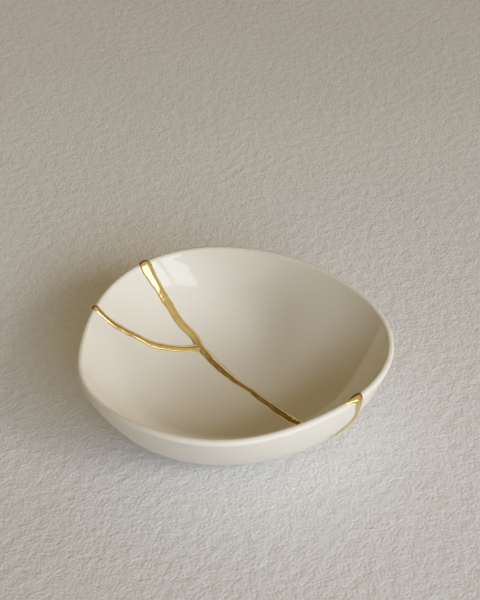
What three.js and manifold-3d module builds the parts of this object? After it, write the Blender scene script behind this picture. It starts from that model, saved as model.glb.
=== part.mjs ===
import * as THREE from "three";
import { mergeVertices } from "three/addons/utils/BufferGeometryUtils.js";
import Module from "manifold-3d";

const wasm = await Module();
wasm.setup();

// A hand-formed porcelain bowl that broke into three shards and was mended with gold.
// Lengths are millimetres, angles are degrees counted from +X towards +Y.

// Driving sizes of the bowl.
const RIM_RADIUS = 62;
const RIM_HEIGHT = 35.6;
const LIP_RADIUS = 1.5;
const FLOOR_THICKNESS = 4;
// How late each side of the wall turns upwards: a higher power keeps the middle flat for longer.
const INSIDE_POWER = 3.8;
const OUTSIDE_POWER = 4.2;
// The outer curve would reach this far below the table, and the flat foot cuts it off.
const FOOT_CUT = 1;

// How the hand-formed shape strays from a turned one: so many crests, so high, one of them at that angle.
const RIM_LOBES = [
  { crests: 2, size: 2.6, at: -38 },
  { crests: 3, size: 3.0, at: -5 },
  { crests: 4, size: 0.45, at: -3 },
  { crests: 5, size: 0.75, at: -18 },
];
const RIM_WAVES = [
  { crests: 1, size: 0.85, at: 3 },
  { crests: 2, size: 2.6, at: 59 },
  { crests: 3, size: 0.65, at: 0 },
];
const BELLY_LOBES = [
  { crests: 2, size: 2.5, at: 105 },
  { crests: 3, size: 3.1, at: -30 },
];
// Where the belly lobes are strongest, as a share of the way from the middle to the rim.
const BELLY_REACH = 2 / 3;

// Driving sizes of the gold seam.
const BEAD_HEIGHT = 0.8;
const GROOVE_DEPTH = 0.8;
const CRACK_FILL = 0.9;
const GAP = 0.3;
// The cut for the gold spreads this many gaps at its edges, which lie above the porcelain, so that the
// sloping sides of the groove stand a full gap away.
const EDGE_SPREAD = 3.3;
const FLARE_LENGTH = 4.5;

// The two breaks, seen from above on a perfectly round bowl of the rim's mean radius. Widths run from
// the first point to the last, and flare is what the gold gains where it crosses the lip.
const LONG_BREAK = {
  route: [
    [-30.9, 53.8],
    [-27.4, 50.6],
    [-22.7, 45.7],
    [-17.8, 39.3],
    [-13.5, 34.7],
    [-10.4, 29],
    [-6.5, 22.5],
    [-2.3, 16.1],
    [2.4, 10.3],
    [9, 4.4],
    [12.8, -2.7],
    [19.1, -11.9],
    [23.7, -18.2],
    [29, -25],
    [34, -30.3],
    [38, -32.6],
    [41.5, -32.6],
    [44.6, -35],
    [47.5, -40],
  ],
  steps: 40,
  inside: [3.4, 2.6],
  outside: [2.2, 1.5],
  flare: [1.4, 4],
  rimAtEnd: true,
};
const SHORT_BREAK = {
  route: [
    [-54.3, 30.4],
    [-50.3, 30.1],
    [-45.1, 30.8],
    [-39.2, 31.1],
    [-33.1, 30.3],
    [-25.7, 29.9],
    [-18.3, 29.1],
    [-10.4, 28.6],
  ],
  steps: 16,
  inside: [2.2, 2.7],
  outside: [1.8, 1.8],
  flare: [0.8, 0],
  rimAtEnd: false,
};

// Fineness of the faceted surfaces.
const AROUND = 72;
const WALL_RINGS = 12;
const LIP_RINGS = 3;
// How far over the lip each row of the seam lies, from the wall to just short of the top.
const OVER_LIP = [0.3, 0.6, 0.85];

const PORCELAIN = { color: 0xdbd7cb, roughness: 0.35, metalness: 0 };
const GOLD = { color: 0xc9a24e, roughness: 0.25, metalness: 1 };

const { degToRad, lerp } = THREE.MathUtils;

// How far a list of waves adds up to at an angle in radians.
function wavesAt(waves, angle) {
  return waves.reduce(
    (sum, { crests, size, at }) => sum + size * Math.cos(crests * (angle - degToRad(at))),
    0,
  );
}

// One side of the wall. lipTurn is how far round the lip its top edge lies, counted from straight up.
function wallSide(inward, power, floor) {
  const steepness = Math.atan((power * (RIM_HEIGHT - floor)) / RIM_RADIUS);
  const lipTurn = inward ? -steepness : Math.PI - steepness;
  const radius = RIM_RADIUS + LIP_RADIUS * Math.sin(lipTurn);
  const rise = RIM_HEIGHT + LIP_RADIUS * Math.cos(lipTurn) - floor;
  return { inward, power, floor, lipTurn, radius, rise };
}
const INSIDE = wallSide(true, INSIDE_POWER, FLOOR_THICKNESS);
const OUTSIDE = wallSide(false, OUTSIDE_POWER, -FOOT_CUT);

function fromPolar(angle, radius, height) {
  return new THREE.Vector3(radius * Math.cos(angle), radius * Math.sin(angle), height);
}

// The belly lobes fade out at the middle and at the rim.
function bellyShare(reach) {
  const shape = (share) => share ** 2 * (1 - share);
  return shape(reach) / shape(BELLY_REACH);
}

// A point of the wall: reach runs from 0 at the middle to 1 at the rim.
function wallPoint(side, angle, reach) {
  const lobes = wavesAt(RIM_LOBES, angle) * reach ** 2 + wavesAt(BELLY_LOBES, angle) * bellyShare(reach);
  const height = side.floor + (side.rise + wavesAt(RIM_WAVES, angle)) * reach ** side.power;
  return fromPolar(angle, side.radius * reach + lobes, Math.max(height, 0));
}

// A point of the lip: over runs from 0 at the edge of that side's wall to 1 at the top of the lip.
function lipPoint(side, angle, over) {
  const turn = side.lipTurn * (1 - over);
  const radius = RIM_RADIUS + wavesAt(RIM_LOBES, angle) + LIP_RADIUS * Math.sin(turn);
  const height = RIM_HEIGHT + wavesAt(RIM_WAVES, angle) + LIP_RADIUS * Math.cos(turn);
  return fromPolar(angle, radius, height);
}

// The direction that leaves the porcelain at a point of the wall or the lip.
function surfaceNormal(side, angle, reach, over) {
  if (over > 0) {
    const turn = side.lipTurn * (1 - over);
    return fromPolar(angle, Math.sin(turn), Math.cos(turn));
  }
  const nudge = 1e-3;
  const low = Math.min(reach, 1 - nudge);
  const here = wallPoint(side, angle, low);
  const along = wallPoint(side, angle + nudge, low).sub(here);
  const outwards = wallPoint(side, angle, low + nudge).sub(here);
  const normal = outwards.cross(along).normalize();
  return side.inward ? normal : normal.negate();
}

// The share of the way out at which the outer curve meets the table.
function footReach(angle) {
  return (FOOT_CUT / (OUTSIDE.rise + wavesAt(RIM_WAVES, angle))) ** (1 / OUTSIDE.power);
}

// A solid from a grid of points: rows joined side to side, and the first and last row closed by caps,
// which list polygons of point numbers within the row.
function loftSolid(rows, capStart, capEnd) {
  const across = rows[0].length;
  const corners = [];
  for (let row = 0; row + 1 < rows.length; row++) {
    for (let i = 0; i < across; i++) {
      const a = row * across + i;
      const b = row * across + ((i + 1) % across);
      corners.push(a, b + across, b, a, a + across, b + across);
    }
  }
  const addCap = (polygons, first, turned) => {
    for (const polygon of polygons) {
      for (let i = 1; i + 1 < polygon.length; i++) {
        const [p, q] = turned ? [polygon[i], polygon[i + 1]] : [polygon[i + 1], polygon[i]];
        corners.push(first + polygon[0], first + p, first + q);
      }
    }
  };
  addCap(capStart, 0, true);
  addCap(capEnd, (rows.length - 1) * across, false);
  const geometry = new THREE.BufferGeometry().setFromPoints(rows.flat()).setIndex(corners);
  return geometrySolid(mergeVertices(geometry, 1e-4));
}

function geometrySolid(geometry) {
  const index = geometry.index.array;
  const kept = [];
  for (let i = 0; i < index.length; i += 3) {
    const [a, b, c] = index.slice(i, i + 3);
    if (a !== b && b !== c && c !== a) kept.push(a, b, c);
  }
  const vertProperties = geometry.attributes.position.array;
  const triVerts = new Uint32Array(kept);
  return new wasm.Manifold(new wasm.Mesh({ numProp: 3, vertProperties, triVerts }));
}

function solidGeometry(solid) {
  const { vertProperties, triVerts } = solid.getMesh();
  const geometry = new THREE.BufferGeometry();
  geometry.setAttribute("position", new THREE.BufferAttribute(vertProperties, 3));
  geometry.setIndex(new THREE.BufferAttribute(triVerts, 1));
  return geometry;
}

// The whole bowl as it was before it broke: rings from the middle of the floor, up the inside, over
// the lip, down the outside and in under the flat foot.
function wholeBowl() {
  const angles = Array.from({ length: AROUND }, (_, i) => (i / AROUND) * 2 * Math.PI);
  const rings = [];
  for (let i = 0; i <= WALL_RINGS; i++) {
    rings.push(angles.map((angle) => wallPoint(INSIDE, angle, i / WALL_RINGS)));
  }
  for (let i = 1; i <= LIP_RINGS; i++) {
    rings.push(angles.map((angle) => lipPoint(INSIDE, angle, i / LIP_RINGS)));
  }
  for (let i = LIP_RINGS - 1; i > 0; i--) {
    rings.push(angles.map((angle) => lipPoint(OUTSIDE, angle, i / LIP_RINGS)));
  }
  for (let i = WALL_RINGS; i >= 0; i--) {
    rings.push(
      angles.map((angle) => wallPoint(OUTSIDE, angle, lerp(footReach(angle), 1, i / WALL_RINGS))),
    );
  }
  rings.push(angles.map(() => new THREE.Vector3()));
  return loftSolid(rings, [], []);
}

// The rows that a seam runs through, each a place on the round plan, the way the seam runs there, how
// far over the lip it lies and how far along the route it is.
function seamStops({ route, steps, rimAtEnd }) {
  const curve = new THREE.CatmullRomCurve3(
    route.map(([x, y]) => new THREE.Vector3(x, y, 0)),
    false,
    "catmullrom",
  );
  const length = curve.getLength();
  const stops = [];
  for (let i = 0; i <= steps; i++) {
    const share = i / steps;
    stops.push({
      place: curve.getPointAt(share),
      heading: curve.getTangentAt(share),
      over: 0,
      share,
      toStart: share * length,
      toEnd: (1 - share) * length,
    });
  }
  const lipStops = (stop, outwards) =>
    OVER_LIP.map((over) => ({
      ...stop,
      heading: stop.place.clone().normalize().multiplyScalar(outwards),
      over,
    }));
  const start = lipStops(stops[0], -1).reverse();
  const end = rimAtEnd ? lipStops(stops[steps], 1) : [];
  return [...start, ...stops, ...end];
}

// Half the width of the gold at a stop.
function halfWidth(widths, { flare }, { share, toStart, toEnd }) {
  const swell = (size, distance) => size * Math.exp(-((distance / FLARE_LENGTH) ** 2));
  const width = lerp(widths[0], widths[1], share) + swell(flare[0], toStart) + swell(flare[1], toEnd);
  return width / 2;
}

// The bead's rounded top: places across it and heights above the porcelain, as shares.
const BEAD_TOP = [
  [-1, 0],
  [-0.55, 0.75],
  [0, 1],
  [0.55, 0.75],
  [1, 0],
];

// The numbers of a row's points in sweepRow, as flat pieces that close the seam's end on the lip, where
// the inner and the outer bead meet, and in the middle of the wall, where they stay apart.
const LIP_CAP = [
  [0, 1, 10, 11],
  [1, 2, 9, 10],
  [2, 3, 8, 9],
  [3, 4, 7, 8],
  [4, 5, 6, 7],
  [11, 12, 13, 0],
];
const WALL_CAP = [
  [0, 1, 2, 3, 4, 5, 13],
  [5, 6, 12, 13],
  [6, 7, 8, 9, 10, 11, 12],
];

// One outline of the seam: the inner bead, down through the crack, the outer bead and back up.
function sweepRow(breakLine, stop, spare) {
  const sideways = new THREE.Vector3(-stop.heading.y, stop.heading.x, 0);
  const pointAt = (side, across, height) => {
    const place = stop.place.clone().addScaledVector(sideways, across);
    const angle = Math.atan2(place.y, place.x);
    const reach = Math.min(place.length() / RIM_RADIUS, 1);
    const surface = stop.over > 0 ? lipPoint(side, angle, stop.over) : wallPoint(side, angle, reach);
    surface.addScaledVector(surfaceNormal(side, angle, reach, stop.over), height);
    if (!side.inward) surface.z = Math.max(surface.z, -spare);
    return surface;
  };
  const bead = (side, widths) => {
    const half = halfWidth(widths, breakLine, stop) + EDGE_SPREAD * spare;
    return BEAD_TOP.map(([across, height]) => pointAt(side, across * half, height * BEAD_HEIGHT + spare));
  };
  const fill = CRACK_FILL / 2 + spare;
  const depth = -GROOVE_DEPTH - spare;
  return [
    ...bead(INSIDE, breakLine.inside),
    pointAt(INSIDE, fill, depth),
    pointAt(OUTSIDE, fill, depth),
    ...bead(OUTSIDE, breakLine.outside).reverse(),
    pointAt(OUTSIDE, -fill, depth),
    pointAt(INSIDE, -fill, depth),
  ];
}

// The gold along one break, made larger all round by spare.
function seamSolid(breakLine, spare) {
  const rows = seamStops(breakLine).map((stop) => sweepRow(breakLine, stop, spare));
  return loftSolid(rows, LIP_CAP, breakLine.rimAtEnd ? LIP_CAP : WALL_CAP);
}

function wholeSeam(spare) {
  return seamSolid(LONG_BREAK, spare).add(seamSolid(SHORT_BREAK, spare));
}

function makeMesh(name, solid, finish) {
  const mesh = new THREE.Mesh(solidGeometry(solid), new THREE.MeshStandardMaterial(finish));
  mesh.name = name;
  return mesh;
}

// The shards, told apart by their size and by which of the two large ones lies further to +X.
function shardMeshes() {
  const shards = wholeBowl().subtract(wholeSeam(GAP)).decompose();
  shards.sort((a, b) => a.volume() - b.volume());
  const [small, ...large] = shards;
  large.sort((a, b) => a.boundingBox().max[0] - b.boundingBox().max[0]);
  const [front, right] = large;
  return [
    makeMesh("small_shard", small, PORCELAIN),
    makeMesh("front_shard", front, PORCELAIN),
    makeMesh("right_shard", right, PORCELAIN),
  ];
}

const bowl = new THREE.Group();
bowl.add(...shardMeshes(), makeMesh("gold_seam", wholeSeam(0), GOLD));
const middle = new THREE.Box3().setFromObject(bowl).getCenter(new THREE.Vector3());
bowl.position.set(-middle.x, -middle.y, 0);

export default bowl;
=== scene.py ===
"""A hand-formed porcelain bowl that broke into three shards and was mended with gold.

Everything is in metres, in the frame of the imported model: +Z up, the flat foot on z = 0.
Angles are degrees counted from +X towards +Y.
"""

import math

import bmesh
import bpy
from bpy.props import FloatProperty, FloatVectorProperty, PointerProperty
from mathutils import Matrix, Vector
from mathutils.bvhtree import BVHTree


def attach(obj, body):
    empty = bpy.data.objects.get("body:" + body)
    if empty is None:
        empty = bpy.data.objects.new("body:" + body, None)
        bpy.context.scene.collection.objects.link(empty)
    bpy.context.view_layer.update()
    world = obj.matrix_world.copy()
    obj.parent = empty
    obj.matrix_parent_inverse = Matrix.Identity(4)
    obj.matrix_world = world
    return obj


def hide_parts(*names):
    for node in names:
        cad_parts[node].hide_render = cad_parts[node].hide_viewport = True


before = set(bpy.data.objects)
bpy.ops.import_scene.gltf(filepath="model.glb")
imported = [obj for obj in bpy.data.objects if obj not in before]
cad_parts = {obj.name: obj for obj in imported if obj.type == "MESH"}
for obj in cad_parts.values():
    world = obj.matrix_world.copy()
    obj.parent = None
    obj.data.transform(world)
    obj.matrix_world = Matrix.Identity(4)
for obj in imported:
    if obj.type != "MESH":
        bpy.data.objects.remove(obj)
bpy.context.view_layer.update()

bl_info = {
    "name": "Kintsugi Bowl",
    "version": (1, 0, 0),
    "blender": (4, 5, 0),
    "location": "View3D > Sidebar > Bowl",
    "description": "Makes a hand-formed porcelain bowl with gold-mended breaks",
    "category": "Add Mesh",
}

MM = 0.001

# How the hand-formed shape strays from a turned one: crests round the bowl, height, angle of a crest.
RIM_LOBES = [(2, 2.6, -38), (3, 3.0, -5), (4, 0.45, -3), (5, 0.75, -18)]
RIM_WAVES = [(1, 0.85, 3), (2, 2.6, 59), (3, 0.65, 0)]
BELLY_LOBES = [(2, 2.5, 105), (3, 3.1, -30)]
# Where the belly lobes are strongest, as a share of the way from the middle to the rim.
BELLY_REACH = 2 / 3
# The solids are centred on their box, so the bowl's own axis lies beside the origin.
AXIS = Vector((-3.1945, -0.6824, 0)) * MM

# The two breaks, seen from above on a perfectly round bowl of the rim's mean radius. Widths run
# from the first point to the last. A flare is what the gold gains at that end, and a spill is how
# far it ran along the lip there. Rim At End is 1 where the last point lies on the rim as well.
LONG_BREAK = {
    "route": [
        (-30.9, 53.8), (-27.4, 50.6), (-22.7, 45.7), (-17.8, 39.3), (-13.5, 34.7), (-10.4, 29),
        (-6.5, 22.5), (-2.3, 16.1), (2.4, 10.3), (9, 4.4), (12.8, -2.7), (19.1, -11.9),
        (23.7, -18.2), (28.6, -24.6), (33.3, -29.2), (37.7, -31.7), (41.5, -32.0), (45.3, -34.5),
        (48.1, -39.5),
    ],
    "inputs": {
        "Rows": 400,
        "Inside Start Width": 3.4 * MM,
        "Inside End Width": 3.7 * MM,
        "Outside Start Width": 2.2 * MM,
        "Outside End Width": 1.1 * MM,
        "Start Flare": 1.5 * MM,
        "End Flare": 2.0 * MM,
        "End Spill": 4.6 * MM,
        "Rim At End": 1,
        "Seed": 3.0,
    },
}
SHORT_BREAK = {
    "route": [
        (-53.8, 31.4), (-50.3, 30.5), (-45.1, 30.8), (-39.2, 31.1), (-33.1, 30.3), (-25.7, 29.9),
        (-18.3, 29.1), (-10.4, 28.6),
    ],
    "inputs": {
        "Rows": 150,
        "Inside Start Width": 2.5 * MM,
        "Inside End Width": 2.9 * MM,
        "Outside Start Width": 1.8 * MM,
        "Outside End Width": 1.8 * MM,
        "Start Flare": 0.8 * MM,
        "End Flare": 0.7 * MM,
        "End Spill": 0.0,
        "Rim At End": 0,
        "Seed": 8.0,
    },
}

# Fineness of the meshes. A flat strip has points only along its two edges.
AROUND = 288
WALL_ROWS = 90
LIP_ROWS = 14
FOOT_ROWS = 4
BEAD_ROWS = 14
FLAT_STRIP_POINTS = 2
ROUTE_RESOLUTION = 24
# Points closer than this are one point.
MERGE_DISTANCE = 1e-3 * MM

# How full the bead's cross-section is: 1 is half an ellipse, and more slopes its edges.
BEAD_ROUNDNESS = 1.25
# How deep the bead's edges dip into the porcelain, so that no gap shows.
EDGE_SINK = 0.06 * MM
# The short seam's inner end comes to a point halfway between two points so deep under each face.
TIP_DEPTH = 1.0 * MM
# How far the shape that cuts the groove reaches below the foot.
CUT_BELOW_FOOT = 0.3 * MM
# The noise that makes the gold uneven: cells per metre, detail, swing, and what sets the seeds apart.
WIDTH_CELLS = 190.0
RISE_CELLS = 230.0
UNEVEN_DETAIL = 2.0
UNEVEN_SWING = 3
LEFT_SEED = 0.0
RIGHT_SEED = 5.0
RISE_SEED = 9.0
OUTSIDE_SEED = 20

SHARD_COUNT = 3
# Edges sharper than this many degrees stay edges.
PORCELAIN_EDGE = 35
GOLD_EDGE = 50
# How much facing upwards counts towards the inside, which puts the lip's top on the glossy side.
LIP_LEAN = 0.35


# The sizes and colours that a user would change.


def distance(name, description, default):
    return FloatProperty(name=name, description=description, default=default, unit="LENGTH", precision=5)


def tint(name, description, default):
    return FloatVectorProperty(name=name, description=description, default=default, subtype="COLOR")


def wattage(name, description, default):
    return FloatProperty(name=name, description=description, default=default, unit="POWER")


class BowlShape(bpy.types.PropertyGroup):
    """Sizes of the porcelain."""

    rim_radius: distance("Rim radius", "Mean radius of the lip's middle line", 62 * MM)
    rim_height: distance("Rim height", "Mean height of the lip's middle line", 35.6 * MM)
    lip_radius: distance("Lip radius", "Half the thickness of the rounded lip", 1.5 * MM)
    floor_thickness: distance("Floor thickness", "Porcelain under the middle of the bowl", 4 * MM)
    foot_cut: distance("Foot cut", "How much of the outer curve the flat foot cuts off", 1 * MM)
    inside_power: FloatProperty(
        name="Inside power", description="How late the inside of the wall turns upwards", default=3.8
    )
    outside_power: FloatProperty(
        name="Outside power", description="How late the outside of the wall turns upwards", default=4.2
    )


class SeamShape(bpy.types.PropertyGroup):
    """Sizes of the gold."""

    bead_height: distance("Bead height", "How far the gold stands above the porcelain", 0.8 * MM)
    groove_depth: distance("Groove depth", "How deep the gold sits in the break", 0.8 * MM)
    web_width: distance("Web width", "Thickness of the filled crack inside the wall", 0.9 * MM)
    edge_inset: distance("Edge inset", "How far the gold laps over the groove", 0.3 * MM)
    flare_length: distance("Flare length", "How far a swelling at the rim reaches", 4.5 * MM)
    unevenness: FloatProperty(
        name="Unevenness", description="Hand-laid variation of width and height", default=0.22, min=0, max=1
    )


class BowlFinish(bpy.types.PropertyGroup):
    """Colours of the porcelain and the gold."""

    glaze: tint("Glaze", "Base colour of the porcelain", (0.82, 0.77, 0.665))
    glaze_warm: tint("Warm glaze", "Colour where the glaze is thicker", (0.79, 0.735, 0.63))
    fleck: tint("Fleck", "Colour of the tiny iron flecks", (0.42, 0.34, 0.24))
    gold: tint("Gold", "Colour of the polished gold", (0.90, 0.70, 0.33))
    gold_deep: tint("Deep gold", "Colour of the thin, worn gold", (0.74, 0.51, 0.19))


class StageLook(bpy.types.PropertyGroup):
    """The floor and the light."""

    floor: tint("Floor", "Colour of the pale floor", (0.83, 0.82, 0.815))
    key_power: wattage("Key light", "Light of the two panes that show in the glaze", 27)
    key_colour: tint("Key colour", "Colour of the two panes", (0.74, 0.86, 1.0))
    high_power: wattage("High light", "Light from high on the key light's side", 33)
    high_colour: tint("High colour", "Colour of the high light", (0.58, 0.72, 1.0))
    pool_power: wattage("Pool", "Light that falls on the middle of the picture", 37)
    pool_colour: tint("Pool colour", "Colour of the light on the middle", (0.95, 0.955, 0.97))
    back_power: wattage("Back light", "Soft light from behind on the right", 13.5)
    back_colour: tint("Back colour", "Colour of the back light", (1.0, 1.0, 1.0))
    room: tint("Room", "Colour of the light from all round", (1.0, 0.76, 0.36))
    room_strength: FloatProperty(
        name="Room strength", description="Strength of the light from all round", default=0.27
    )
    gloss_bright: tint("Bright side", "What gloss reflects on the key light's side", (0.58, 0.52, 0.38))
    gloss_dark: tint("Dark side", "What gloss reflects on the other side", (0.09, 0.06, 0.02))
    backdrop: tint("Backdrop", "Colour seen above the floor", (0.46, 0.44, 0.40))


# Node trees. One class wraps a tree and adds nodes to it, and one wraps a socket, so that sums on
# sockets are written as sums.


class Field:
    """A number in a node tree. Arithmetic on it adds Math nodes."""

    def __init__(self, tree, socket):
        self.tree = tree
        self.socket = socket

    def __add__(self, other):
        return self.tree.math("ADD", self, other)

    __radd__ = __add__

    def __sub__(self, other):
        return self.tree.math("SUBTRACT", self, other)

    def __rsub__(self, other):
        return self.tree.math("SUBTRACT", other, self)

    def __mul__(self, other):
        return self.tree.math("MULTIPLY", self, other)

    __rmul__ = __mul__

    def __truediv__(self, other):
        return self.tree.math("DIVIDE", self, other)

    def __rtruediv__(self, other):
        return self.tree.math("DIVIDE", other, self)

    def __pow__(self, other):
        return self.tree.math("POWER", self, other)

    def __neg__(self):
        return self.tree.math("MULTIPLY", self, -1.0)

    def sin(self):
        return self.tree.math("SINE", self)

    def cos(self):
        return self.tree.math("COSINE", self)

    def at_least(self, low):
        return self.tree.math("MAXIMUM", self, low)

    def at_most(self, high):
        return self.tree.math("MINIMUM", self, high)

    def share(self, start, end):
        """0 at start, 1 at end, eased in between."""
        made = self.tree.add(
            "ShaderNodeMapRange",
            {"interpolation_type": "SMOOTHSTEP"},
            {"Value": self, "From Min": start, "From Max": end},
        )
        return made["Result"]


class Made:
    """A node that was added, whose outputs are read by name or number."""

    def __init__(self, tree, node):
        self.tree = tree
        self.node = node

    def __getitem__(self, output):
        return Field(self.tree, self.node.outputs[output])


class Tree:
    """A node tree that is being written."""

    def __init__(self, data):
        self.data = data

    def add(self, kind, settings=None, values=None):
        """Adds a node: its settings first, then the value or link of each socket."""
        node = self.data.nodes.new(kind)
        for name, setting in (settings or {}).items():
            setattr(node, name, setting)
        for key, value in (values or {}).items():
            for each in value if isinstance(value, list) else [value]:
                self.connect(node.inputs[key], each)
        return Made(self, node)

    def connect(self, socket, value):
        if isinstance(value, Made):
            value = value[0]
        if isinstance(value, Field):
            self.data.links.new(value.socket, socket)
        elif hasattr(socket.default_value, "__len__") and len(socket.default_value) > len(value):
            socket.default_value = (*value, 1.0)
        else:
            socket.default_value = value

    def math(self, operation, *values):
        return self.add("ShaderNodeMath", {"operation": operation}, dict(enumerate(values)))["Value"]

    def vector(self, x, y, z=0.0):
        return self.add("ShaderNodeCombineXYZ", None, {"X": x, "Y": y, "Z": z})["Vector"]

    def parts(self, vector):
        made = self.add("ShaderNodeSeparateXYZ", None, {"Vector": vector})
        return made["X"], made["Y"], made["Z"]

    def vector_math(self, operation, *values, output="Vector"):
        return self.add("ShaderNodeVectorMath", {"operation": operation}, dict(enumerate(values)))[output]

    def scaled(self, vector, amount):
        made = self.add("ShaderNodeVectorMath", {"operation": "SCALE"}, {"Vector": vector, "Scale": amount})
        return made["Vector"]

    # A Mix node's numbers, vectors and colours share their names, so they go by their places.

    def mixed(self, factor, start, end):
        """A vector on its way from start to end."""
        made = self.add("ShaderNodeMix", {"data_type": "VECTOR"}, {"Factor": factor, 4: start, 5: end})
        return made[1]

    def mixed_colour(self, factor, start, end):
        """A colour on its way from start to end."""
        made = self.add("ShaderNodeMix", {"data_type": "RGBA"}, {"Factor": factor, 6: start, 7: end})
        return made[2]

    def noise(self, vector, scale, detail, seed):
        """Smooth noise between about 0 and 1, with so many cells to a metre."""
        made = self.add(
            "ShaderNodeTexNoise",
            {"noise_dimensions": "4D"},
            {"Vector": vector, "W": seed, "Scale": scale, "Detail": detail},
        )
        return made["Fac"]


def property_name(socket_name):
    """What a socket is called as a property or an argument."""
    return socket_name.lower().replace(" ", "_")


# Sockets whose value is the property of the same name.
SHAPE_INPUTS = [
    "Rim Radius", "Rim Height", "Lip Radius", "Floor Thickness", "Foot Cut", "Inside Power", "Outside Power",
]
GOLD_INPUTS = ["Bead Height", "Groove Depth", "Web Width", "Edge Inset", "Flare Length", "Unevenness"]
# The sockets of a seam's tree, apart from the bowl's shape.
SEAM_INPUTS = [
    "Rows", "Inside Start Width", "Inside End Width", "Outside Start Width", "Outside End Width",
    "Start Flare", "End Flare", "End Spill", "Rim At End", "Seed", "Edge Sink", "Lowest", "Narrower",
    *GOLD_INPUTS,
]
SOCKET_TYPES = {
    "Geometry": "NodeSocketGeometry",
    "Curve": "NodeSocketGeometry",
    "Material": "NodeSocketMaterial",
    "Position": "NodeSocketVector",
    "Place": "NodeSocketVector",
    "Heading": "NodeSocketVector",
}


class GeometryTree(Tree):
    """A Geometry Nodes tree with named inputs, or a group that such trees share."""

    def __init__(self, name, inputs, outputs=("Geometry",)):
        super().__init__(bpy.data.node_groups.new(name, "GeometryNodeTree"))
        for direction, names in (("INPUT", inputs), ("OUTPUT", outputs)):
            for each in names:
                kind = SOCKET_TYPES.get(each, "NodeSocketFloat")
                self.data.interface.new_socket(each, in_out=direction, socket_type=kind)
        self.inputs = self.add("NodeGroupInput")

    def __getitem__(self, name):
        return self.inputs[name]

    def give(self, *values):
        self.add("NodeGroupOutput", None, dict(enumerate(values)))
        return self.data

    def group(self, shared, **values):
        """Adds a shared group, which takes the inputs that aren't given from this tree's own."""
        made = self.add("GeometryNodeGroup", {"node_tree": shared})
        for socket in made.node.inputs:
            key = property_name(socket.name)
            self.connect(socket, values[key] if key in values else self[socket.name])
        return made

    def strip(self, rows, columns, place):
        """A grid whose points go where place says, from their shares along and across it."""
        grid = self.add(
            "GeometryNodeMeshGrid", None,
            {"Size X": 1.0, "Size Y": 1.0, "Vertices X": rows, "Vertices Y": columns},
        )
        x, y, _ = self.parts(self.add("GeometryNodeInputPosition")["Position"])
        return self.add(
            "GeometryNodeSetPosition", None, {"Geometry": grid["Mesh"], "Position": place(x + 0.5, y + 0.5)}
        )["Geometry"]

    def closed(self, strips):
        """Joins strips edge to edge into one smooth surface."""
        joined = self.add("GeometryNodeJoinGeometry", None, {"Geometry": strips})
        merged = self.add(
            "GeometryNodeMergeByDistance", None,
            {"Geometry": joined["Geometry"], "Distance": MERGE_DISTANCE},
        )
        smooth = self.add("GeometryNodeSetShadeSmooth", None, {"Geometry": merged["Geometry"]})
        whole = self.add("GeometryNodeRealizeInstances", None, {"Geometry": smooth["Geometry"]})
        return self.add(
            "GeometryNodeSetMaterial", None, {"Geometry": whole["Geometry"], "Material": self["Material"]}
        )["Geometry"]


def wave_sum(waves, angle):
    """How far a list of waves adds up to at an angle."""
    terms = [((angle - math.radians(at)) * crests).cos() * (size * MM) for crests, size, at in waves]
    return sum(terms[1:], terms[0])


def turned_point(tree, angle, radius, height):
    """The point at an angle round the bowl, so far out and so high."""
    return tree.vector(angle.cos() * radius, angle.sin() * radius, height)


def side_turn(tree, outside):
    """How far round the lip the top edge of a side's wall lies, counted from straight up."""
    power = tree["Inside Power"] + (tree["Outside Power"] - tree["Inside Power"]) * outside
    floor = tree["Floor Thickness"] - (tree["Floor Thickness"] + tree["Foot Cut"]) * outside
    slope = power * (tree["Rim Height"] - floor) / tree["Rim Radius"]
    return power, floor, outside * math.pi - tree.math("ARCTANGENT", slope)


def wall_group():
    """A point of the wall: reach runs from 0 at the middle to 1 at the rim."""
    tree = GeometryTree("Bowl Wall", ["Angle", "Reach", "Outside", *SHAPE_INPUTS], ["Position"])
    angle, reach, outside = tree["Angle"], tree["Reach"], tree["Outside"]
    power, floor, turn = side_turn(tree, outside)
    radius = tree["Rim Radius"] + tree["Lip Radius"] * turn.sin()
    rise = tree["Rim Height"] + tree["Lip Radius"] * turn.cos() - floor
    fullest = BELLY_REACH**2 * (1 - BELLY_REACH)
    belly = wave_sum(BELLY_LOBES, angle) * reach * reach * (1 - reach) / fullest
    lobes = wave_sum(RIM_LOBES, angle) * reach * reach + belly
    height = floor + (rise + wave_sum(RIM_WAVES, angle)) * reach**power
    return tree.give(turned_point(tree, angle, radius * reach + lobes, height.at_least(0)))


def lip_group():
    """A point of the rounded lip: turn is 0 on its top and grows outwards."""
    tree = GeometryTree("Bowl Lip", ["Angle", "Turn", *SHAPE_INPUTS], ["Position"])
    angle, turn = tree["Angle"], tree["Turn"]
    radius = tree["Rim Radius"] + wave_sum(RIM_LOBES, angle) + tree["Lip Radius"] * turn.sin()
    height = tree["Rim Height"] + wave_sum(RIM_WAVES, angle) + tree["Lip Radius"] * turn.cos()
    return tree.give(turned_point(tree, angle, radius, height))


def foot_reach(tree, angle):
    """The share of the way out at which the outer curve meets the ground."""
    _, floor, turn = side_turn(tree, 1.0)
    rise = tree["Rim Height"] + tree["Lip Radius"] * turn.cos() - floor
    return (tree["Foot Cut"] / (rise + wave_sum(RIM_WAVES, angle))) ** (1 / tree["Outside Power"])


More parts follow.
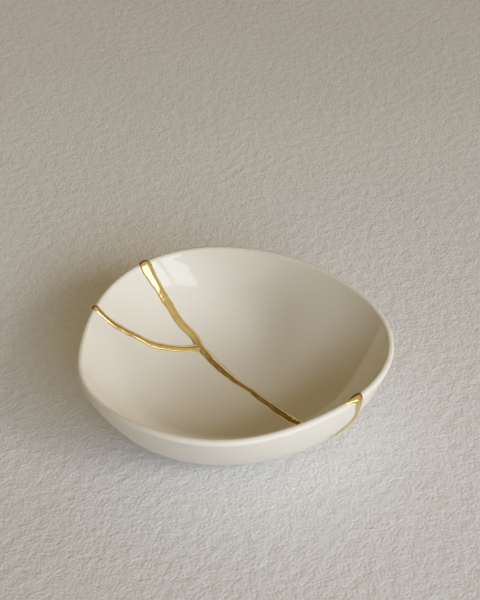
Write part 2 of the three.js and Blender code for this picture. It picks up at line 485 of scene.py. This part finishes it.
def bowl_tree(wall, lip):
    """The whole bowl as it was before it broke: inside, lip, outside and flat foot."""
    tree = GeometryTree("Whole Bowl", ["Material", *SHAPE_INPUTS])
    _, _, inner_turn = side_turn(tree, 0.0)
    _, _, outer_turn = side_turn(tree, 1.0)

    def inside(along, across):
        return tree.group(wall, angle=along * math.tau, reach=across, outside=0.0)["Position"]

    def over_lip(along, across):
        turn = inner_turn + (outer_turn - inner_turn) * across
        return tree.group(lip, angle=along * math.tau, turn=turn)["Position"]

    def outside(along, across):
        angle = along * math.tau
        reach = 1 - (1 - foot_reach(tree, angle)) * across
        return tree.group(wall, angle=angle, reach=reach, outside=1.0)["Position"]

    def foot(along, across):
        angle = along * math.tau
        reach = foot_reach(tree, angle) * (1 - across)
        return tree.group(wall, angle=angle, reach=reach, outside=1.0)["Position"]

    strips = [
        tree.strip(AROUND + 1, WALL_ROWS + 1, inside),
        tree.strip(AROUND + 1, LIP_ROWS + 1, over_lip),
        tree.strip(AROUND + 1, WALL_ROWS + 1, outside),
        tree.strip(AROUND + 1, FOOT_ROWS + 1, foot),
    ]
    return tree.give(tree.closed(strips))


def seam_point_group(wall, lip):
    """A point beside the break: so far across it, and so far above the porcelain."""
    inputs = ["Place", "Heading", "Over", "Outside", "Across", "Lift", "Lowest", *SHAPE_INPUTS]
    tree = GeometryTree("Seam Point", inputs, ["Position"])
    over, outside = tree["Over"], tree["Outside"]
    head_x, head_y, _ = tree.parts(tree["Heading"])
    sideways = tree.vector_math("NORMALIZE", tree.vector(-head_y, head_x))
    place = tree.vector_math("ADD", tree["Place"], tree.scaled(sideways, tree["Across"]))
    x, y, _ = tree.parts(place)
    angle = tree.math("ARCTAN2", y, x)
    nudge = 1e-3
    reach = tree.vector_math("LENGTH", place, output="Value") / tree["Rim Radius"]
    reach = reach.at_most(1 - nudge)

    def on_wall(turn, out):
        return tree.group(wall, angle=angle + turn, reach=reach + out, outside=outside)["Position"]

    here = on_wall(0.0, 0.0)
    along = tree.vector_math("SUBTRACT", on_wall(nudge, 0.0), here)
    outwards = tree.vector_math("SUBTRACT", on_wall(0.0, nudge), here)
    wall_normal = tree.scaled(
        tree.vector_math("NORMALIZE", tree.vector_math("CROSS_PRODUCT", outwards, along)), 1 - outside * 2
    )
    _, _, edge_turn = side_turn(tree, outside)
    turn = edge_turn * (1 - over)
    lip_normal = turned_point(tree, angle, turn.sin(), turn.cos())
    on_lip = tree.math("GREATER_THAN", over, 0.0)
    surface = tree.mixed(on_lip, here, tree.group(lip, angle=angle, turn=turn)["Position"])
    normal = tree.mixed(on_lip, wall_normal, lip_normal)
    x, y, z = tree.parts(tree.vector_math("ADD", surface, tree.scaled(normal, tree["Lift"])))
    # Only the outside can reach the foot, so the inside's limit lies a metre down, out of the way.
    floor = tree["Lowest"] * outside - (1 - outside)
    return tree.give(tree.vector(x, y, z.at_least(floor)))


def seam_row_group():
    """Where a row of the seam is, and how wide and high the gold is there on one side of the wall."""
    inputs = ["Curve", "Along", "Outside", *SEAM_INPUTS]
    outputs = ["Place", "Heading", "Over", "Tip", "Left", "Right", "Rise"]
    tree = GeometryTree("Seam Row", inputs, outputs)
    row = tree["Along"] * (tree["Rows"] - 1)
    to_last = tree["Rows"] - 1 - row
    from_start = (1 - row / LIP_ROWS).at_least(0)
    from_end = (1 - to_last / LIP_ROWS).at_least(0)
    lip_at_end = from_end * tree["Rim At End"]
    over = from_start.at_least(lip_at_end)
    share = ((row - LIP_ROWS) / (tree["Rows"] - 1 - 2 * LIP_ROWS)).at_least(0).at_most(1)
    sample = tree.add(
        "GeometryNodeSampleCurve", {"mode": "FACTOR", "use_all_curves": True},
        {"Curves": tree["Curve"], "Factor": share},
    )
    place = sample["Position"]
    beyond = tree.math("GREATER_THAN", lip_at_end, 0.0) - tree.math("GREATER_THAN", from_start, 0.0)
    on_lip = tree.math("GREATER_THAN", over, 0.0)
    heading = tree.mixed(on_lip, sample["Tangent"], tree.scaled(place, beyond))

    widths = []
    for side in ("Inside", "Outside"):
        start, end = tree[side + " Start Width"], tree[side + " End Width"]
        widths.append(start + (end - start) * share)
    mean = (widths[0] + widths[1]) * 0.5
    width = widths[0] + (widths[1] - widths[0]) * tree["Outside"]
    width = width + (mean - width) * over
    length = tree.add("GeometryNodeCurveLength", None, {"Curve": tree["Curve"]})["Length"]
    for flare, far in (("Start Flare", share * length), ("End Flare", (1 - share) * length)):
        fade = far / tree["Flare Length"]
        width = width + tree[flare] * tree.math("EXPONENT", -(fade * fade))

    def uneven(cells, seed):
        """Hand-laid variation round 1 that fades out over the lip, where both sides have to meet."""
        own_seed = tree["Seed"] + tree["Outside"] * OUTSIDE_SEED + seed
        noise = tree.noise(place, cells, UNEVEN_DETAIL, own_seed)
        return 1 + (noise - 0.5) * UNEVEN_SWING * tree["Unevenness"] * (1 - over)

    spill = tree["End Spill"] * lip_at_end * lip_at_end
    left = width * 0.5 * uneven(WIDTH_CELLS, LEFT_SEED) - tree["Narrower"] + spill
    right = width * 0.5 * uneven(WIDTH_CELLS, RIGHT_SEED) - tree["Narrower"]
    rise = tree["Bead Height"] * uneven(RISE_CELLS, RISE_SEED)
    tip = from_end * (1 - tree["Rim At End"])
    return tree.give(place, heading, over, tip, left, right, rise)


def seam_tree():
    """The gold along one break: a bead inside, one outside, and the filled crack between them."""
    wall, lip = wall_group(), lip_group()
    seam_row, seam_point = seam_row_group(), seam_point_group(wall, lip)
    tree = GeometryTree("Seam", ["Geometry", "Material", *SEAM_INPUTS, *SHAPE_INPUTS])
    line = tree.add("GeometryNodeMeshToCurve", None, {"Mesh": tree["Geometry"]})
    rounded = tree.add("GeometryNodeCurveSplineType", {"spline_type": "CATMULL_ROM"}, {"Curve": line[0]})
    curve = tree.add(
        "GeometryNodeSetSplineResolution", None, {"Geometry": rounded[0], "Resolution": ROUTE_RESOLUTION}
    )[0]

    def row_at(along, outside):
        return tree.group(seam_row, curve=curve, along=along, outside=outside)

    def point(row, outside, across, lift):
        made = tree.group(
            seam_point, place=row["Place"], heading=row["Heading"], over=row["Over"], outside=outside,
            across=across, lift=lift,
        )
        return made["Position"]

    def tipped(row, made):
        """Draws the seam's inner end together to a point in the middle of the wall."""
        ends = [point(row, outside, 0.0, -TIP_DEPTH) for outside in (0.0, 1.0)]
        middle = tree.scaled(tree.vector_math("ADD", *ends), 0.5)
        return tree.mixed(row["Tip"], made, middle)

    def bead(outside):
        def place(along, across):
            row = row_at(along, outside)
            turn = (across - 0.5) * math.pi
            half = row["Left"] + (row["Right"] - row["Left"]) * across
            lift = turn.cos() ** BEAD_ROUNDNESS * (row["Rise"] + tree["Edge Sink"]) - tree["Edge Sink"]
            return tipped(row, point(row, outside, turn.sin() * half, lift))

        return place

    def ledge(outside, edge):
        """From the bead's edge in under the bead."""

        def place(along, across):
            row = row_at(along, outside)
            half = row["Left" if edge < 0 else "Right"] - tree["Edge Inset"] * across
            return tipped(row, point(row, outside, half * edge, -tree["Edge Sink"]))

        return place

    def groove(outside, edge):
        """From under the bead's edge down to the crack."""

        def place(along, across):
            row = row_at(along, outside)
            top = row["Left" if edge < 0 else "Right"] - tree["Edge Inset"]
            half = top + (tree["Web Width"] / 2 - top) * across
            lift = -(tree["Edge Sink"] + (tree["Groove Depth"] - tree["Edge Sink"]) * across)
            return tipped(row, point(row, outside, half * edge, lift))

        return place

    def web(edge):
        """The side of the filled crack, from the inner groove to the outer one."""

        def place(along, across):
            row = row_at(along, 0.0)
            half = tree["Web Width"] / 2 * edge
            start, end = (point(row, outside, half, -tree["Groove Depth"]) for outside in (0.0, 1.0))
            return tipped(row, tree.mixed(across, start, end))

        return place

    rows = tree["Rows"]
    strips = [tree.strip(rows, BEAD_ROWS + 1, bead(outside)) for outside in (0.0, 1.0)]
    for edge in (-1, 1):
        for outside in (0.0, 1.0):
            strips.append(tree.strip(rows, FLAT_STRIP_POINTS, ledge(outside, edge)))
            strips.append(tree.strip(rows, FLAT_STRIP_POINTS, groove(outside, edge)))
        strips.append(tree.strip(rows, FLAT_STRIP_POINTS, web(edge)))
    return tree.give(tree.closed(strips))


# Meshes.


def socket_values(group, sockets):
    """The value of each socket, from the property of the same name."""
    return {name: getattr(group, property_name(name)) for name in sockets}


def new_object(name, data):
    made = bpy.data.objects.new(name, data)
    bpy.context.scene.collection.objects.link(made)
    return made


def tree_mesh(name, tree, values, start=None):
    """Runs a Geometry Nodes tree with these inputs and returns what it makes as a plain mesh."""
    holder = new_object(name, start or bpy.data.meshes.new(name))
    modifier = holder.modifiers.new(name, "NODES")
    modifier.node_group = tree
    for item in tree.interface.items_tree:
        if item.item_type == "SOCKET" and item.name in values:
            value = values[item.name]
            modifier[item.identifier] = float(value) if item.name != "Material" else value
    return plain_mesh(holder)


def plain_mesh(holder):
    """The evaluated mesh of an object, facing outwards; the object itself goes."""
    graph = bpy.context.evaluated_depsgraph_get()
    mesh = bpy.data.meshes.new_from_object(holder.evaluated_get(graph), depsgraph=graph)
    holder.modifiers.clear()
    bpy.data.objects.remove(holder)
    face_out(mesh)
    return mesh


def face_out(mesh):
    """Turns every face outwards, and stops if the surface isn't closed."""
    shape = bmesh.new()
    shape.from_mesh(mesh)
    bmesh.ops.recalc_face_normals(shape, faces=shape.faces)
    if shape.calc_volume(signed=True) < 0:
        bmesh.ops.reverse_faces(shape, faces=shape.faces)
    open_edges = sum(not edge.is_manifold for edge in shape.edges)
    shape.to_mesh(mesh)
    shape.free()
    if open_edges:
        raise RuntimeError(f"{mesh.name} has {open_edges} open edges")


def combined(mesh, other, operation):
    """One mesh joined with another, or cut by it."""
    holder, tool = new_object("holder", mesh), new_object("tool", other)
    modifier = holder.modifiers.new("combine", "BOOLEAN")
    modifier.operation = operation
    modifier.solver = "MANIFOLD"
    modifier.object = tool
    made = plain_mesh(holder)
    bpy.data.objects.remove(tool)
    return made


def separate(mesh):
    """The closed pieces that a mesh falls into, as one mesh each, largest first."""
    shape = bmesh.new()
    shape.from_mesh(mesh)
    shape.verts.ensure_lookup_table()
    piece_of, count = {}, 0
    for start in shape.verts:
        if start in piece_of:
            continue
        piece_of[start], queue = count, [start]
        while queue:
            for edge in queue.pop().link_edges:
                for vert in edge.verts:
                    if vert not in piece_of:
                        piece_of[vert] = count
                        queue.append(vert)
        count += 1
    made = []
    for number in range(count):
        piece = shape.copy()
        piece.verts.ensure_lookup_table()
        gone = [piece.verts[vert.index] for vert in shape.verts if piece_of[vert] != number]
        bmesh.ops.delete(piece, geom=gone, context="VERTS")
        data = bpy.data.meshes.new("piece")
        piece.to_mesh(data)
        made.append((piece.calc_volume(), data))
        piece.free()
    shape.free()
    made.sort(key=lambda entry: -entry[0])
    return [data for _, data in made]


def route_mesh(route):
    """A break's points as a line of edges."""
    mesh = bpy.data.meshes.new("route")
    points = [Vector((x, y, 0)) * MM for x, y in route]
    mesh.from_pydata(points, [(i, i + 1) for i in range(len(points) - 1)], [])
    return mesh


def seam_meshes(context, material, cutter):
    """The gold along each break, or the narrower shapes that cut its groove in the porcelain."""
    gold = context.scene.seam_shape
    tree = bpy.data.node_groups.get("Seam") or seam_tree()
    made = []
    for line in (LONG_BREAK, SHORT_BREAK):
        values = {
            **socket_values(context.scene.bowl_shape, SHAPE_INPUTS),
            **socket_values(gold, GOLD_INPUTS),
            **line["inputs"],
            "Edge Sink": EDGE_SINK,
            "Material": material,
            "Lowest": 0.0,
            "Narrower": 0.0,
        }
        if cutter:
            values.update({"Lowest": -CUT_BELOW_FOOT, "Narrower": gold.edge_inset, "Edge Inset": 0.0})
        made.append(tree_mesh("seam", tree, values, route_mesh(line["route"])))
    return made


def finish_piece(name, mesh, node, sharp_angle):
    """Puts a piece in its node's place: smooth but for real edges, riding on the root body."""
    mesh.name = name
    mesh.transform(Matrix.Translation(AXIS))
    mesh.polygons.foreach_set("use_smooth", [True] * len(mesh.polygons))
    mesh.set_sharp_from_angle(angle=math.radians(sharp_angle))
    piece = new_object(name, mesh)
    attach(piece, "root")
    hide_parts(node)


# Materials. Each pattern of noise holds its cells per metre, its detail and its seed.


def new_material(name):
    """An empty material and its tree."""
    material = bpy.data.materials.new(name)
    material.use_nodes = True
    material.node_tree.nodes.clear()
    return material, Tree(material.node_tree)


def shade(tree, values):
    """Ends a material in one shader with these values."""
    shader = tree.add("ShaderNodeBsdfPrincipled", None, values)
    tree.add("ShaderNodeOutputMaterial", None, {"Surface": shader["BSDF"]})


def bump(tree, strength, depth, height):
    """The normals of a surface with this relief."""
    made = tree.add("ShaderNodeBump", None, {"Strength": strength, "Distance": depth, "Height": height})
    return made["Normal"]


GLAZE_POOLING = (22.0, 3.0, 1.0)
GLAZE_FLECKS = (900.0, 1.0, 2.0)
GLAZE_MOTTLE = (140.0, 4.0, 3.0)
GLAZE_SWELL = (45.0, 1.0, 4.0)
GLAZE_RIPPLE = (160.0, 2.0, 5.0)
GLAZE_GRAIN = (1500.0, 2.0, 6.0)
# The levels of noise, and the heights on the wall, between which a change of colour sets in.
POOLING_LEVELS = (0.35, 0.75)
FLECK_LEVELS = (0.745, 0.79)
LOW_WALL = (4 * MM, 22 * MM)
# How strong each change of colour is, and each smaller wave beside the swell.
POOLING_WARMTH = 0.35
LOW_WARMTH = 0.25
FLECK_STRENGTH = 0.30
RIPPLE_SHARE = 0.1
GRAIN_SHARE = 0.05
# Roughness outside, how much glossier it is inside, and how much it varies.
SATIN = 0.42
INSIDE_GLOSS = 0.35
MOTTLING = 0.06
# A bump's strength and depth.
GLAZE_BUMP = (0.25, 0.4 * MM)


def porcelain_material(finish):
    """Cream glaze: glossy inside, satin outside, with faint pooling and tiny flecks."""
    material, tree = new_material("Porcelain Glaze")
    place = tree.add("ShaderNodeTexCoord")["Object"]
    inside = tree.add("ShaderNodeAttribute", {"attribute_name": "inside"})["Fac"]
    _, _, height = tree.parts(place)
    pooling = tree.noise(place, *GLAZE_POOLING).share(*POOLING_LEVELS)
    low = 1 - height.share(*LOW_WALL)
    warmth = pooling * POOLING_WARMTH + low * LOW_WARMTH
    colour = tree.mixed_colour(warmth, tuple(finish.glaze), tuple(finish.glaze_warm))
    flecks = tree.noise(place, *GLAZE_FLECKS).share(*FLECK_LEVELS)
    colour = tree.mixed_colour(flecks * FLECK_STRENGTH, colour, tuple(finish.fleck))
    mottle = tree.noise(place, *GLAZE_MOTTLE)
    roughness = SATIN - inside * INSIDE_GLOSS + (mottle - 0.5) * MOTTLING
    swell = tree.noise(place, *GLAZE_SWELL) + tree.noise(place, *GLAZE_RIPPLE) * RIPPLE_SHARE
    grain = tree.noise(place, *GLAZE_GRAIN) * (1 - inside) * GRAIN_SHARE
    normal = bump(tree, *GLAZE_BUMP, swell + grain)
    shade(tree, {"Base Color": colour, "Roughness": roughness, "Normal": normal})
    return material


GOLD_THIN = (190.0, 3.0, 11.0)
GOLD_WEAR = (420.0, 2.0, 12.0)
GOLD_LUMPS = (330.0, 1.0, 13.0)
GOLD_GRAIN = (1300.0, 1.0, 14.0)
THIN_LEVELS = (0.45, 0.72)
THIN_REDNESS = 0.55
# Roughness where the gold is best polished, and what wear adds.
POLISH = 0.11
WEAR = 0.12
GOLD_GRAIN_SHARE = 0.03
GOLD_BUMP = (0.3, 0.3 * MM)


def gold_material(finish):
    """Polished gold over lacquer, with lumps from the brush and thinner, redder patches."""
    material, tree = new_material("Polished Gold")
    place = tree.add("ShaderNodeTexCoord")["Object"]
    thin = tree.noise(place, *GOLD_THIN).share(*THIN_LEVELS)
    colour = tree.mixed_colour(thin * THIN_REDNESS, tuple(finish.gold), tuple(finish.gold_deep))
    roughness = POLISH + tree.noise(place, *GOLD_WEAR) * WEAR
    lumps = tree.noise(place, *GOLD_LUMPS) + tree.noise(place, *GOLD_GRAIN) * GOLD_GRAIN_SHARE
    normal = bump(tree, *GOLD_BUMP, lumps)
    shade(tree, {"Base Color": colour, "Metallic": 1.0, "Roughness": roughness, "Normal": normal})
    return material


FLOOR_BLOTCH = (9.0, 4.0, 21.0)
FLOOR_STAIN = (60.0, 4.0, 22.0)
FLOOR_GRAIN = (750.0, 4.0, 23.0)
FLOOR_WAVES = (210.0, 2.0, 24.0)
BLOTCH_LEVELS = (0.3, 0.7)
BLOTCH_SHARE = 0.6
STAIN_SHARE = 0.4
# The blotches have this share of the floor's lightness.
BLOTCH_SHADE = 0.95
FLOOR_GRAIN_SHARE = 0.7
FLOOR_BUMP = (0.7, 1.1 * MM)
FLOOR_ROUGHNESS = 0.85


def floor_material(look):
    """A pale, grainy floor with soft blotches."""
    material, tree = new_material("Pale Floor")
    place = tree.add("ShaderNodeTexCoord")["Object"]
    stain = tree.noise(place, *FLOOR_STAIN) * STAIN_SHARE
    blotch = tree.noise(place, *FLOOR_BLOTCH) * BLOTCH_SHARE + stain
    pale = tuple(look.floor)
    deep = tuple(level * BLOTCH_SHADE for level in pale)
    colour = tree.mixed_colour(blotch.share(*BLOTCH_LEVELS), deep, pale)
    grain = tree.noise(place, *FLOOR_GRAIN) * FLOOR_GRAIN_SHARE + tree.noise(place, *FLOOR_WAVES)
    normal = bump(tree, *FLOOR_BUMP, grain)
    shade(tree, {"Base Color": colour, "Roughness": FLOOR_ROUGHNESS, "Normal": normal})
    return material


def mark_inside(mesh, whole):
    """Stores on each point whether it belongs to the inside of the bowl, 1, or the outside, 0."""
    surface = BVHTree.FromPolygons([v.co for v in whole.vertices], [p.vertices for p in whole.polygons])
    marks = []
    for vertex in mesh.vertices:
        _, normal, _, _ = surface.find_nearest(vertex.co)
        outwards = Vector((vertex.co.x, vertex.co.y, 0)).normalized()
        tilt = normal.dot(outwards) - normal.z * LIP_LEAN
        marks.append(min(max(0.5 - tilt, 0.0), 1.0))
    mesh.attributes.new("inside", "FLOAT", "POINT").data.foreach_set("value", marks)


# Operators, one for each group of pieces.


class BOWL_OT_shards(bpy.types.Operator):
    """Make the three porcelain shards that the bowl broke into"""

    bl_idname = "bowl.shards"
    bl_label = "Make Shards"

    def execute(self, context):
        material = porcelain_material(context.scene.bowl_finish)
        tree = bowl_tree(wall_group(), lip_group())
        values = socket_values(context.scene.bowl_shape, SHAPE_INPUTS)
        whole = tree_mesh("whole", tree, {**values, "Material": material})
        broken = whole.copy()
        for cutter in seam_meshes(context, material, cutter=True):
            broken = combined(broken, cutter, "DIFFERENCE")
        pieces = separate(broken)
        if len(pieces) < SHARD_COUNT:
            raise RuntimeError(f"the bowl fell into {len(pieces)} pieces instead of {SHARD_COUNT}")
        *large, small = pieces[:SHARD_COUNT]
        front, right = sorted(large, key=lambda mesh: max(v.co.x for v in mesh.vertices))
        for name, mesh in (("small", small), ("front", front), ("right", right)):
            mesh.materials.clear()
            mesh.materials.append(material)
            mark_inside(mesh, whole)
            node, slot = f"{name}_shard", f"porcelain_{name}"
            finish_piece(f"{node}_glazed", mesh, node, PORCELAIN_EDGE)
        return {"FINISHED"}


class BOWL_OT_gold_seam(bpy.types.Operator):
    """Make the gold that fills both breaks"""

    bl_idname = "bowl.gold_seam"
    bl_label = "Make Gold Seam"

    def execute(self, context):
        material = gold_material(context.scene.bowl_finish)
        long_gold, short_gold = seam_meshes(context, material, cutter=False)
        mesh = separate(combined(long_gold, short_gold, "UNION"))[0]
        mesh.materials.clear()
        mesh.materials.append(material)
        finish_piece("gold_seam_polished", mesh, "gold_seam", GOLD_EDGE)
        return {"FINISHED"}


# The stage. Each light has a direction, as azimuth and elevation, and stands this far away.
ROOM = 3.0
LIT_POINT = (0, 0, 0.02)
KEY_DIRECTION = (-61, 15)
PANE_SIZE = (1.17, 1.25)
PANE_GAP = 0.2
HIGH_DIRECTION = (-66, 28)
HIGH_SIZE = (1.6, 1.0)
BACK_DIRECTION = (52, 14)
BACK_SIZE = (3.2, 1.0)
# The pool's spotlight stands half as far away: its cone in degrees, and its lamp's radius.
POOL_DIRECTION = (-38, 29)
POOL_CONE = 28
POOL_LAMP = 0.25
POOL_MIDDLE = (0, 0, 0)
# Where gloss sees the room at its brightest, and the cosines between which it turns from dark to bright.
BRIGHT_DIRECTION = (-60, 50)
BRIGHT_COSINES = (0.0, 0.95)

# The camera of the photograph. Its roll is in degrees, and its lens and sensor in millimetres.
CAMERA_PLACE = Vector((4.24, -448.10, 405.50)) * MM
LINE_OF_SIGHT = Vector((0, 0.78801, -0.61566))
CAMERA_ROLL = 5.01
LENS = 85
SENSOR = 36


def aimed(name, data, place, target):
    """A new object that stands at a place and points at a target."""
    made = new_object(name, data)
    made.location = place
    made.rotation_euler = (Vector(target) - Vector(place)).to_track_quat("-Z", "Y").to_euler()
    return made


def towards(direction, away):
    """The point that lies so far away in a direction."""
    azimuth, elevation = (math.radians(angle) for angle in direction)
    level = math.cos(elevation)
    return Vector((math.cos(azimuth) * level, math.sin(azimuth) * level, math.sin(elevation))) * away


def area_light(name, place, size, power, colour):
    """A rectangular light that points at the bowl."""
    light = bpy.data.lights.new(name, "AREA")
    light.shape = "RECTANGLE"
    light.size, light.size_y = size
    light.energy = power
    light.color = colour
    return aimed(name, light, place, LIT_POINT)


def key_light(look):
    """Two wide panes beside each other with a gap between them, which show in the glaze."""
    middle = towards(KEY_DIRECTION, ROOM)
    across = Vector((0, 0, 1)).cross(middle).normalized()
    for side in (-1, 1):
        offset = across * (side * (PANE_SIZE[0] + PANE_GAP) / 2)
        area_light(f"pane_{side}", middle + offset, PANE_SIZE, look.key_power / 2, look.key_colour)


def soft_lights(look):
    """Light that shapes the bowl but doesn't show in the glaze."""
    high_place, back_place = (towards(direction, ROOM) for direction in (HIGH_DIRECTION, BACK_DIRECTION))
    high = area_light("high_light", high_place, HIGH_SIZE, look.high_power, look.high_colour)
    back = area_light("back_light", back_place, BACK_SIZE, look.back_power, look.back_colour)
    spot = bpy.data.lights.new("pool_light", "SPOT")
    spot.energy = look.pool_power
    spot.color = look.pool_colour
    spot.spot_size = math.radians(POOL_CONE)
    spot.spot_blend = 1.0
    spot.shadow_soft_size = POOL_LAMP
    pool = aimed("pool_light", spot, towards(POOL_DIRECTION, ROOM / 2), POOL_MIDDLE)
    for light in (high, back, pool):
        light.visible_glossy = False


def room_light(look):
    """Even warm light from all round; gloss shows it as a room with a bright and a dark side."""
    world = bpy.data.worlds.new("room")
    world.use_nodes = True
    world.node_tree.nodes.clear()
    tree = Tree(world.node_tree)
    direction = tree.add("ShaderNodeTexCoord")["Generated"]
    bright = tuple(towards(BRIGHT_DIRECTION, 1))
    cosine = tree.vector_math("DOT_PRODUCT", direction, bright, output="Value")
    shown = tree.mixed_colour(
        cosine.share(*BRIGHT_COSINES), tuple(look.gloss_dark), tuple(look.gloss_bright)
    )

    def background(colour, strength):
        return tree.add("ShaderNodeBackground", None, {"Color": colour, "Strength": strength})

    light = background(tuple(look.room), look.room_strength)
    gloss = background(shown, 1.0)
    backdrop = background(tuple(look.backdrop), 1.0)
    path = tree.add("ShaderNodeLightPath")
    mixed = tree.add("ShaderNodeMixShader", None, {"Fac": path["Is Glossy Ray"], 1: light, 2: gloss})
    mixed = tree.add("ShaderNodeMixShader", None, {"Fac": path["Is Camera Ray"], 1: mixed, 2: backdrop})
    tree.add("ShaderNodeOutputWorld", None, {"Surface": mixed["Shader"]})
    bpy.context.scene.world = world


def photo_camera():
    """Looks along the line of sight, rolled clockwise about it."""
    level = Vector((1, 0, 0))
    upright = level.cross(LINE_OF_SIGHT)
    roll = math.radians(CAMERA_ROLL)
    right = level * math.cos(roll) - upright * math.sin(roll)
    up = level * math.sin(roll) + upright * math.cos(roll)
    data = bpy.data.cameras.new("photo_camera")
    data.lens = LENS
    data.sensor_width = SENSOR
    camera = new_object("photo_camera", data)
    turn = Matrix((right, up, -LINE_OF_SIGHT)).transposed().to_4x4()
    camera.matrix_world = Matrix.Translation(CAMERA_PLACE) @ turn
    bpy.context.scene.camera = camera


class BOWL_OT_stage(bpy.types.Operator):
    """Make the floor, the lights and the camera"""

    bl_idname = "bowl.stage"
    bl_label = "Make Stage"

    def execute(self, context):
        look = context.scene.bowl_stage
        mesh = bpy.data.meshes.new("floor")
        half = 2 * ROOM
        corners = [(-half, -half, 0), (half, -half, 0), (half, half, 0), (-half, half, 0)]
        mesh.from_pydata(corners, [], [(0, 1, 2, 3)])
        mesh.materials.append(floor_material(look))
        new_object("floor", mesh)
        key_light(look)
        soft_lights(look)
        room_light(look)
        context.scene.view_settings.view_transform = "Standard"
        photo_camera()
        return {"FINISHED"}


GROUPS = {
    "bowl_shape": BowlShape,
    "seam_shape": SeamShape,
    "bowl_finish": BowlFinish,
    "bowl_stage": StageLook,
}
OPERATORS = (BOWL_OT_shards, BOWL_OT_gold_seam, BOWL_OT_stage)


class BOWL_PT_panel(bpy.types.Panel):
    """The bowl's sizes, colours and pieces"""

    bl_label = "Kintsugi Bowl"
    bl_space_type = "VIEW_3D"
    bl_region_type = "UI"
    bl_category = "Bowl"

    def draw(self, context):
        for group_name, group in GROUPS.items():
            box = self.layout.box()
            for name in group.__annotations__:
                box.prop(getattr(context.scene, group_name), name)
        for operator in OPERATORS:
            self.layout.operator(operator.bl_idname)


CLASSES = (*GROUPS.values(), *OPERATORS, BOWL_PT_panel)


def register():
    for each in CLASSES:
        bpy.utils.register_class(each)
    for name, group in GROUPS.items():
        setattr(bpy.types.Scene, name, PointerProperty(type=group))


def unregister():
    for name in GROUPS:
        delattr(bpy.types.Scene, name)
    for each in reversed(CLASSES):
        bpy.utils.unregister_class(each)


def main():
    register()
    bpy.ops.bowl.shards()
    bpy.ops.bowl.gold_seam()
    bpy.ops.bowl.stage()


if __name__ == "__main__":
    main()
